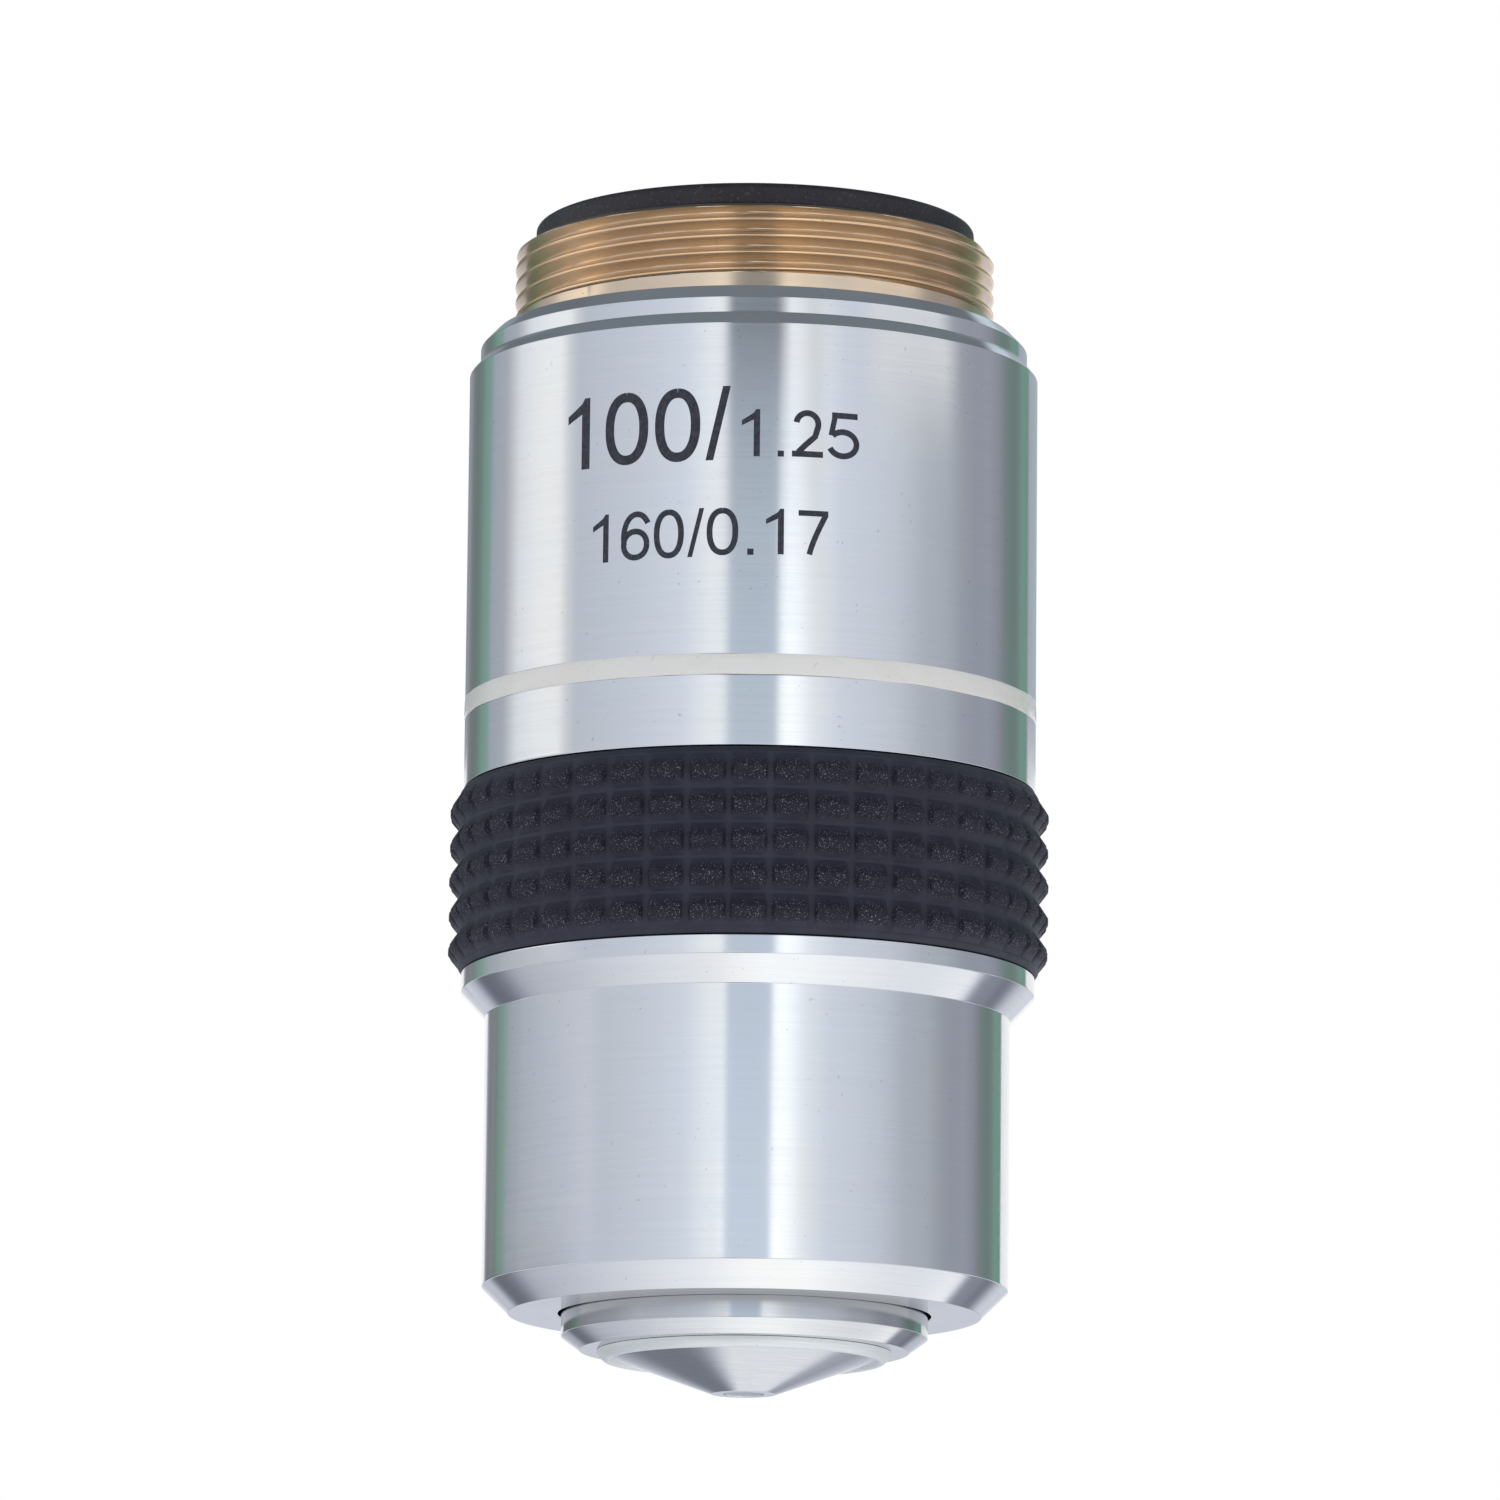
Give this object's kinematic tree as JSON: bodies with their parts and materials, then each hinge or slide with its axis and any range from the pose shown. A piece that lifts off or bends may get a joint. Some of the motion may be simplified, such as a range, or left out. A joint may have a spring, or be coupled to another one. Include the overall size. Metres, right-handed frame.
{
  "type": "microscope objective",
  "caption": "Oil immersion microscope objective: plated barrel with a brass screw thread, studded rubber grip, cream code ring and a spring loaded nose that slides in.",
  "frame": {"origin": "on the optical axis, in the plane of the shoulder that stops against the microscope's nosepiece", "axes": "+Z along the optical axis, up through the thread and away from the specimen; the numerals face -Y; +X to their right"},
  "size_m": [0.0252, 0.0252, 0.0496],
  "materials": {
    "satin_chrome": "satin",
    "bright_steel": "satin",
    "turned_brass": "satin",
    "black_oxide": "matte",
    "grip_rubber": "matte",
    "cream_enamel": "gloss",
    "crown_glass": "polished",
    "flint_glass": "polished"
  },
  "bodies": {
    "barrel": {"thread_mount": "turned_brass", "rear_ring": "black_oxide", "outer_barrel": "satin_chrome", "code_ring": "cream_enamel", "grip_ring": "grip_rubber", "guide_screw": "bright_steel", "spring_washer": "bright_steel", "return_spring": "bright_steel"},
    "lens_unit": {"nose_sleeve": "satin_chrome", "front_cell": "satin_chrome", "front_lens": "crown_glass", "meniscus_cell": "turned_brass", "meniscus_lens": "crown_glass", "meniscus_lock_ring": "turned_brass", "middle_cell": "turned_brass", "middle_crown": "crown_glass", "middle_flint": "flint_glass", "spacer_tube": "black_oxide", "rear_cell": "turned_brass", "rear_crown": "crown_glass", "rear_flint": "flint_glass", "aperture_stop": "black_oxide", "rear_lock_ring": "black_oxide"}
  },
  "joints": [
    {"name": "nose_retract", "type": "slide", "parent": "barrel", "child": "lens_unit", "axis": [0, 0, 1], "range_m": [0, 0.0015], "stiffness_N_per_m": 500, "springref_m": -0.004, "deforming": ["return_spring"]}
  ]
}
